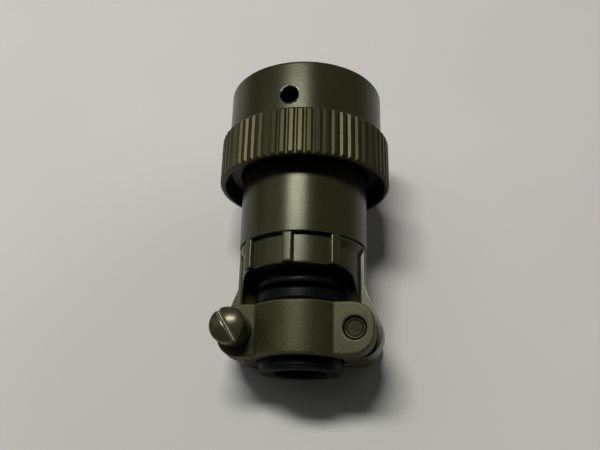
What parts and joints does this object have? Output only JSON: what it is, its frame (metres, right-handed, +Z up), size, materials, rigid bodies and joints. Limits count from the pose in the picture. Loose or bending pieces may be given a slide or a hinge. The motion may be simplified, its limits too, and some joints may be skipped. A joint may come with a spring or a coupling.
{
  "type": "mil-spec circular connector plug",
  "caption": "Bayonet-coupled circular plug in olive plated metal, with pin contacts, a turning ridged coupling nut, a rubber cable gland and a two-strap cable clamp.",
  "frame": {"origin": "centre of the coupling nut's mating face, on the connector's axis", "axes": "+Z up; the plug lies as it rests on a table, with the mating end towards +Y and slightly raised, and the clamp ears across X"},
  "size_m": [0.0264, 0.0471, 0.0278],
  "materials": {
    "olive_plating": "satin",
    "olive_cast": "satin",
    "spring_steel": "satin",
    "screw_metal": "satin",
    "seal_rubber": "matte",
    "gland_rubber": "satin",
    "insert_plastic": "satin",
    "gold_plating": "polished"
  },
  "bodies": {
    "shell": {"plug_shell": "olive_plating", "face_gasket": "seal_rubber", "pin_insert": "insert_plastic", "interface_seal": "seal_rubber", "contact_a": "gold_plating", "contact_b": "gold_plating", "contact_c": "gold_plating", "contact_d": "gold_plating", "contact_e": "gold_plating", "contact_f": "gold_plating", "contact_g": "gold_plating", "contact_h": "gold_plating", "wire_grommet": "seal_rubber", "grommet_follower": "insert_plastic", "backshell": "olive_plating", "clamp_body": "olive_plating", "cable_gland": "gland_rubber", "wave_spring": "spring_steel"},
    "spring_seat": {"thrust_washer": "spring_steel"},
    "nut": {"coupling_nut": "olive_plating", "retaining_ring": "spring_steel"},
    "front_clamp": {"front_strap": "olive_cast", "front_lock_washer": "spring_steel"},
    "back_clamp": {"back_strap": "olive_cast", "back_lock_washer": "spring_steel"},
    "front_fastener": {"front_screw": "screw_metal"},
    "back_fastener": {"back_screw": "screw_metal"}
  },
  "joints": [
    {"name": "nut_float", "type": "slide", "parent": "shell", "child": "spring_seat", "axis": [0, 0.9803, 0.1975], "range_m": [0, 0.0005], "stiffness_N_per_m": 400, "springref_m": -0.0005, "deforming": ["wave_spring"]},
    {"name": "nut_turn", "type": "hinge", "parent": "spring_seat", "child": "nut", "pos_m": [0, 0, 0], "axis": [0, 0.9803, 0.1975], "continuous": true},
    {"name": "front_strap_open", "type": "slide", "parent": "shell", "child": "front_clamp", "axis": [-0.2167, -0.1928, 0.957], "range_m": [0, 0.00095]},
    {"name": "back_strap_open", "type": "slide", "parent": "shell", "child": "back_clamp", "axis": [0.2167, 0.1928, -0.957], "range_m": [0, 0.00095]},
    {"name": "front_screw_turn", "type": "hinge", "parent": "front_clamp", "child": "front_fastener", "pos_m": [-0.00944, -0.03887, -0.00427], "axis": [-0.2167, -0.1928, 0.957], "range_deg": [0, 1080]},
    {"name": "back_screw_turn", "type": "hinge", "parent": "back_clamp", "child": "back_fastener", "pos_m": [0.00944, -0.03749, -0.01111], "axis": [0.2167, 0.1928, -0.957], "range_deg": [0, 1080]}
  ],
  "couplings": [
    {"joint": "back_strap_open", "follows": "front_strap_open", "ratio": 1}
  ]
}
